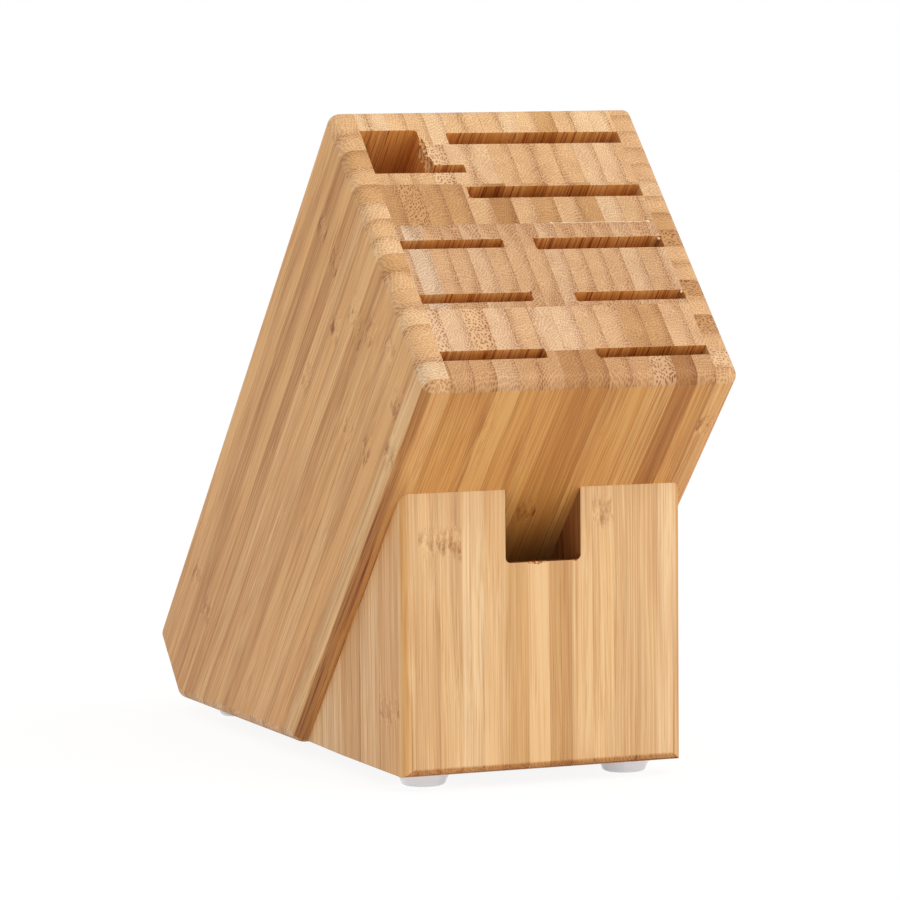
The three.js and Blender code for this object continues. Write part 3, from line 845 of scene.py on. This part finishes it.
def grown(name, tree, values, points=(), edges=()):
    """Runs a geometry tree once and keeps the result as a plain mesh. The points and edges are its start."""
    start = bpy.data.meshes.new(name)
    start.from_pydata(points, edges, [])
    thing = as_object(name, start)
    modifier = thing.modifiers.new("Grown", "NODES")
    modifier.node_group = tree
    for item in tree.interface.items_tree:
        if item.item_type == "SOCKET" and item.in_out == "INPUT" and item.name in values:
            modifier[item.identifier] = values[item.name]
    view = bpy.context.evaluated_depsgraph_get()
    mesh = bpy.data.meshes.new_from_object(thing.evaluated_get(view))
    thing.modifiers.clear()
    thing.data = mesh
    mesh.name = name
    return thing


# ---------------------------------------------------------------------------------------------------------
# Operators
# ---------------------------------------------------------------------------------------------------------

# The side panels: CAD node, which side, its strips, then what the oil leaves of the colour on the ends, how
# far apart the tones lie, and the colour of the rounded edges, which is painted shade.
PANELS = (
    (
        "left_side_panel", -1, (7.84, -5.24, "mpmmlmmdlmldmdmmmm", ".537283446a4s4s..."),
        "#FAF6F2", 0.75, "#E2D0B2",
    ),
    (
        "right_side_panel", 1, (7.76, -3.86, "mLmKmKmmKdmlmmmmmm", "3..6..4..8...5...."),
        "#F4EEEB", 0.8, "#F0DDBE",
    ),
)
# The groove between the left panel's rounded edge and the support, where shade is painted: how deep it counts
# as one, where the support's top ends it, and over how many millimetres above that the painted shade fades
# out.
GROOVE_DEPTH = 2.4
GROOVE_TOP = (SUPPORT_TOP - TOP_FRONT_LINE.z) / math.cos(TILT)
GROOVE_FADE = 14

# The core boards from front to back: CAD node, its glued or outer faces, its strips, and what the oil leaves
# of the colour on the ends and on the faces. The front board's darker face colour is painted shade on the
# block's front, which faces the floor.
CORE = (
    ("front_board", 0.0, 13.3, (7.74, -53.4, "mmmlmmddmmLkmm", "......8......."), "#E2D5CB", "#E5CA99"),
    ("second_board", 13.3, 32.5, (7.74, -50.0, "LlMlmllmmddmm", "............."), "#F3EFF4", CORE_FACE),
    ("middle_board", 32.5, 70.0, (6.75, -51.4, "lpmmlmmmlmmmlml", "..............."), "#EAE3E3", CORE_FACE),
    ("fourth_board", 70.0, 88.6, (7.72, -48.6, "dDddmkmdmdlmm", "............."), "#F0ECEC", CORE_FACE),
    ("fifth_board", 88.6, 107.2, (7.74, -49.8, "mmmLllmmmmllm", "............."), "#F4EEEB", CORE_FACE),
    ("back_board", 107.2, 124.5, (6.73, -49.2, "llmmlmmmlmdmllm", "....4...1..7..."), PLAIN, CORE_FACE),
)
# What broke out of the right rim of the steel's hole: middle and half widths.
STEEL_HOLE_CHIPS = (
    ((-26.0, 106.4, 0.2), (1.0, 4.4, 1.5)),
    ((-25.9, 98.8, -1.2), (1.5, 2.7, 3.0)),
    ((-26.3, 105.2, -2.6), (0.5, 3.4, 2.2)),
)

# The support from front to back: CAD node, material slot, where its first strip begins, its strips' tones
# and nodes, and what the oil leaves of the colour on the faces.
SUPPORT_STRIP = 7.75
SUPPORT = (
    ("support_front_panel", "front_panel_bamboo", -52.25, "mmmlmdmkmmmmlm", ".22......1....", "#F6F6F4"),
    ("support_board_1", "support_bamboo", -50.9, "mmdlmmldmlmdmm", "9.....3.......", "#F3E8DC"),
    ("support_board_2", "support_bamboo", -51.5, "lmmldmlmmdmlmm", "......5.......", "#FFF9F2"),
    ("support_board_3", "support_bamboo", -52.8, "mmdlmmldmlmdmm", "...4..........", "#F6EEE6"),
    ("support_board_4", "support_bamboo", -52.0, "lmdlmmldmlmdmm", ".......6......", PLAIN),
)
# What broke out under the notch: how far across, how far up from the notch's floor, and its half width.
NOTCH_CHIPS = ((-4.4, -0.1, 1.2), (-2.0, -0.2, 1.7), (0.6, 0.0, 1.0), (11.4, 0.0, 0.8))

# Glue that dried on the top: a thread between the first two, and drops at all, two of them where slots end
# at the side panel.
GLUE_SPOTS = ((9, 70, 0), (44, 70, 0), (46.1, 38.3, -0.7), (46.1, 62.8, -0.9))


class BLOCK_OT_side_panels(bpy.types.Operator):
    """Makes the two side panels, whose strips lie one behind another"""

    bl_idname = "block.side_panels"
    bl_label = "Side panels"

    def execute(self, context):
        look = context.scene.block_bamboo
        for count, (node, side, strips, ends, spread, rounded) in enumerate(PANELS):
            mesh = merged(node)
            ease_edges(mesh, lambda face: flat_on(face, 0, side * CORE_SIDE), look.eased_edge / MM)
            # Painted shade in the groove between the left panel's rounded edge and the support: the faces
            # there take the groove's colour, fading out above the support's top.
            cuts = (
                ((-SUPPORT_SIDE, 0, 0), (1, 0, 0)), ((0, 0, GROOVE_TOP), (0, 0, 1)),
                ((0, 0, GROOVE_TOP + GROOVE_FADE), (0, 0, 1)),
            )
            for place, across in cuts:
                geometry = mesh.verts[:] + mesh.edges[:] + mesh.faces[:]
                bmesh.ops.bisect_plane(mesh, geom=geometry, plane_co=place, plane_no=across)
            sawn = mesh.verts.layers.float.new("sawn")
            for vert in mesh.verts:
                x, depth, height = vert.co
                # A vertex in the groove is marked for the groove's painted shade.
                rough = x < NEAR - SUPPORT_SIDE and depth < GROOVE_DEPTH and height < GROOVE_TOP + NEAR
                vert[sawn] = float(rough)
            middle = side * (CORE_SIDE + BLOCK_SIDE) / 2
            wood = bamboo(
                node, strips, (BLOCK_ORIGIN.y, middle, BLOCK_ORIGIN.z), PANEL_TURN, seed=3.0 + count, arc=0.8,
                ends=ends, faces=PANEL_FACE, spread=spread, walls=lin(GROOVE_SHADE), rounded=lin(rounded),
            )
            piece(mesh, "bamboo_" + node, wood, [node])
        return {"FINISHED"}


class BLOCK_OT_core_boards(bpy.types.Operator):
    """Makes the six boards between the side panels, with the knife slots sawn into them"""

    bl_idname = "block.core_boards"
    bl_label = "Core boards"

    def execute(self, context):
        look = context.scene.block_bamboo
        for count, (node, front, back, strips, ends, faces) in enumerate(CORE):
            mesh = merged(node)
            close_core_joints(mesh)

            def glued(face):
                if flat_on(face, 0, CORE_SIDE) or flat_on(face, 0, -CORE_SIDE):
                    return True
                return any(flat_on(face, 1, joint) for joint in GLUE_JOINTS)

            # The walls of the slots and of the steel's hole are sawn. They run with the fibres, and lie
            # neither in a glued face nor at the rounded front and back.
            sawn = mesh.faces.layers.float.new("sawn")
            for face in mesh.faces:
                depth = face.calc_center_median().y
                inside = ROUNDED_EDGE <= depth <= BLOCK_DEPTH - ROUNDED_EDGE
                face[sawn] = float(abs(face.normal.z) < 0.2 and inside and not glued(face))
            round_kerf_ends(mesh, look.kerf_corner / MM)
            ease_edges(mesh, glued, look.eased_edge / MM)
            if node in ("fifth_board", "back_board"):
                chip(mesh, STEEL_HOLE_CHIPS)
            offset = (0.0, BLOCK_ORIGIN.y - (front + back) / 2, BLOCK_ORIGIN.z)
            wood = bamboo(node, strips, offset, BLOCK_TURN, seed=10.0 + count, ends=ends, faces=faces)
            piece(mesh, "bamboo_" + node, wood, [node])
        return {"FINISHED"}


class BLOCK_OT_support(bpy.types.Operator):
    """Makes the upright support: four boards one behind another, cut to the slant, and a thin front panel"""

    bl_idname = "block.support"
    bl_label = "Support"

    def execute(self, context):
        look = context.scene.block_bamboo
        behind = None
        for count, (node, slot, seam, tones, nodes, tint) in enumerate(SUPPORT):
            low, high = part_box(node)
            mesh = merged(node)
            packed_front = low.y / MM
            front = packed_front if behind is None else behind + HAIRLINE
            back = high.y / MM
            # Bring the front and the slanted face to what they are glued to.
            for vert in mesh.verts:
                spot = upright(vert.co)
                on_slant = abs(vert.co.y + GLUE_GAP) < NEAR
                if behind is not None and abs(spot.y - packed_front) < NEAR:
                    spot.y = front
                vert.co = INTO_BLOCK @ (spot * MM)
                if on_slant:
                    spot.z += (-HAIRLINE - vert.co.y) / math.sin(TILT)
                    vert.co = INTO_BLOCK @ (spot * MM)
            glued_levels = [back] if behind is None else [front, back]

            def glued(face):
                if flat_on(face, 1, -HAIRLINE):
                    return True
                levels = [upright(vert.co).y for vert in face.verts]
                if max(levels) - min(levels) > NEAR:
                    return False
                return any(abs(levels[0] - level) < NEAR for level in glued_levels)

            # The faces in the notch are marked for the notch's painted shade.
            sawn = mesh.faces.layers.float.new("sawn")
            for face in mesh.faces:
                face[sawn] = float(all(abs(vert.co.x) < POCKET_SIDE + NEAR for vert in face.verts))
            ease_edges(mesh, glued, look.eased_edge / MM)
            if behind is None:
                lumps = []
                for x, up, half in NOTCH_CHIPS:
                    place = INTO_BLOCK @ (Vector((x, front, NOTCH_FLOOR + up)) * MM)
                    lumps.append((place, (half, 0.45 * half, 0.45 * half)))
                chip(mesh, lumps)
            wood = bamboo(
                node, (SUPPORT_STRIP, seam, tones, nodes), (0.0, -(front + back) / 2, -SUPPORT_TOP),
                seed=21.0 + count, ends=SUPPORT_END, faces=tint, spread=0.7, walls=look.pocket_shade,
                streaks=0.65 if behind is None else 1.0,
            )
            piece(mesh, "bamboo_" + node, wood, [node])
            behind = back
        return {"FINISHED"}


class BLOCK_OT_dowels(bpy.types.Operator):
    """Makes the four fluted dowels that join the support to the block"""

    bl_idname = "block.dowels"
    bl_label = "Dowels"

    def execute(self, context):
        look = context.scene.block_feet
        nodes = [f"dowel_{row}_{side}" for row in ("upper", "lower") for side in ("left", "right")]
        centre, spread = middle_and_spread(nodes)
        thing = grown("beech_dowels", dowel_tree(), {
            "Length": look.dowel_length, "Radius": look.dowel_radius, "Chamfer": look.chamfer,
            "Flutes": look.flutes, "Flute depth": look.flute_depth, "Across": spread.x,
            "Along": math.hypot(spread.y, spread.z), "Centre": centre, "Turn": BLOCK_TURN,
            "Material": beech(),
        })
        claim(thing, nodes)
        return {"FINISHED"}


class BLOCK_OT_bumpers(bpy.types.Operator):
    """Makes the four soft bumpers under the block and the support"""

    bl_idname = "block.bumpers"
    bl_label = "Bumpers"

    def execute(self, context):
        look = context.scene.block_feet
        nodes = [f"bumper_{row}_{side}" for row in ("front", "rear") for side in ("left", "right")]
        centre, spread = middle_and_spread(nodes)
        low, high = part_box(nodes[0])
        thing = grown("rubber_bumpers", bumper_tree(), {
            "Height": high[2] - low[2], "Top radius": (high[0] - low[0]) / 2, "Waist radius": look.waist,
            "Rim": look.rim, "Across": spread.x, "Along": spread.y, "Centre": (centre.x, centre.y, low[2]),
            "Turn": (0.0, 0.0, 0.0), "Material": soft_rubber(),
        })
        claim(thing, nodes)
        return {"FINISHED"}


class BLOCK_OT_glue(bpy.types.Operator):
    """Makes the traces of dried glue on the top"""

    bl_idname = "block.glue"
    bl_label = "Dried glue"

    def execute(self, context):
        look = context.scene.block_bamboo
        points = [OUT_OF_BLOCK @ Vector(spot) for spot in GLUE_SPOTS]
        thing = grown("dried_glue", glue_tree(), {
            "Thread radius": look.glue_thread, "Drop radius": look.glue_drop, "Waviness": look.glue_wave,
            "Seed": 5, "Material": dried_glue(),
        }, points, [(0, 1)])
        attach(thing, BODY)
        return {"FINISHED"}


class BLOCK_OT_stage(bpy.types.Operator):
    """Makes the pale floor, the soft light and the camera"""

    bl_idname = "block.stage"
    bl_label = "Stage"

    def execute(self, context):
        scene = context.scene
        stage = scene.block_stage
        scene.view_settings.view_transform = "Standard"
        white = (1.0, 1.0, 1.0, 1.0)

        # Floor of matt white paper: the camera sees it almost white, with the object's soft shadow on it.
        paper = bpy.data.materials.new("White paper sweep")
        paper.use_nodes = True
        put = functools.partial(add, paper.node_tree)
        paper.node_tree.nodes.clear()
        ray = put("ShaderNodeLightPath").outputs
        seen = put(MATH, [ray["Is Camera Ray"], ray["Is Glossy Ray"]], operation="MAXIMUM")
        seen = put(MATH, [seen, ray["Is Transmission Ray"]], operation="MAXIMUM")
        # The share that is plain white there. The rest takes the shadow.
        seen = put(MATH, [seen, 0.86], operation="MULTIPLY")
        matt = put("ShaderNodeBsdfDiffuse", {"Color": stage.floor})
        glow = put("ShaderNodeEmission", {"Color": white, "Strength": 1.05})
        both = put("ShaderNodeMixShader", [seen, matt, glow])
        put("ShaderNodeOutputMaterial", {"Surface": both})
        mesh = bmesh.new()
        bmesh.ops.create_grid(mesh, x_segments=2, y_segments=2, size=40.0)
        data = bpy.data.meshes.new("paper_floor")
        mesh.to_mesh(data)
        mesh.free()
        data.materials.append(paper)
        floor = as_object("paper_floor", data)
        # A hair below the bumpers, so that their undersides don't flicker with it.
        floor.location.z = -0.05 * MM

        # Even room light, and plain white where the camera looks past the floor.
        world = bpy.data.worlds.new("Studio")
        scene.world = world
        world.use_nodes = True
        put = functools.partial(add, world.node_tree)
        world.node_tree.nodes.clear()
        ray = put("ShaderNodeLightPath").outputs
        room = put("ShaderNodeBackground", {"Color": white, "Strength": stage.sky})
        backdrop = put("ShaderNodeBackground", {"Color": white, "Strength": 1.0})
        seen = put(MATH, [ray["Is Camera Ray"], ray["Is Transmission Ray"]], operation="MAXIMUM")
        both = put("ShaderNodeMixShader", [seen, room, backdrop])
        put("ShaderNodeOutputWorld", {"Surface": both})

        # A softbox in front of the block, above it and to the right, aimed at its lower half.
        lamp = bpy.data.lights.new("softbox", "AREA")
        lamp.shape = "RECTANGLE"
        lamp.size = 1.6
        lamp.size_y = 1.2
        lamp.energy = stage.key
        box = as_object("softbox", lamp)
        box.location = (0.9, -1.5, 1.3)
        aim = Vector((0, 0, 0.1)) - box.location
        box.rotation_euler = aim.to_track_quat("-Z", "Y").to_euler()

        view = bpy.data.cameras.new("camera")
        view.sensor_width = 36
        view.lens = stage.lens
        view.clip_start = 0.05
        view.clip_end = 50
        camera = as_object("camera", view)
        yaw, dip, roll = stage.camera_turn
        turn = Matrix.Rotation(-yaw, 4, "Z") @ Matrix.Rotation(math.radians(90) - dip, 4, "X")
        turn = turn @ Matrix.Rotation(roll, 4, "Z")
        camera.matrix_world = Matrix.Translation(stage.camera_place) @ turn
        scene.camera = camera
        return {"FINISHED"}


class BLOCK_PT_sidebar(bpy.types.Panel):
    """Lists the pieces of the knife block"""

    bl_idname = "BLOCK_PT_sidebar"
    bl_label = "Knife block"
    bl_space_type = "VIEW_3D"
    bl_region_type = "UI"
    bl_category = "Knife block"

    def draw(self, context):
        layout = self.layout
        for operator in OPERATORS:
            layout.operator(operator.bl_idname)
        for name, group in GROUPS.items():
            box = layout.box()
            for field in group.__annotations__:
                box.prop(getattr(context.scene, name), field)


GROUPS = {"block_bamboo": BambooSettings, "block_feet": FootSettings, "block_stage": StageSettings}
OPERATORS = (
    BLOCK_OT_stage, BLOCK_OT_side_panels, BLOCK_OT_core_boards, BLOCK_OT_support, BLOCK_OT_dowels,
    BLOCK_OT_bumpers, BLOCK_OT_glue,
)


def register():
    for group in GROUPS.values():
        bpy.utils.register_class(group)
    for name, group in GROUPS.items():
        setattr(bpy.types.Scene, name, bpy.props.PointerProperty(type=group))
    for operator in OPERATORS:
        bpy.utils.register_class(operator)
    bpy.utils.register_class(BLOCK_PT_sidebar)


def unregister():
    bpy.utils.unregister_class(BLOCK_PT_sidebar)
    for operator in reversed(OPERATORS):
        bpy.utils.unregister_class(operator)
    for name in GROUPS:
        delattr(bpy.types.Scene, name)
    for group in reversed(GROUPS.values()):
        bpy.utils.unregister_class(group)


def main():
    register()
    bpy.ops.block.stage()
    bpy.ops.block.side_panels()
    bpy.ops.block.core_boards()
    bpy.ops.block.support()
    bpy.ops.block.dowels()
    bpy.ops.block.bumpers()
    bpy.ops.block.glue()


if __name__ == "__main__":
    main()
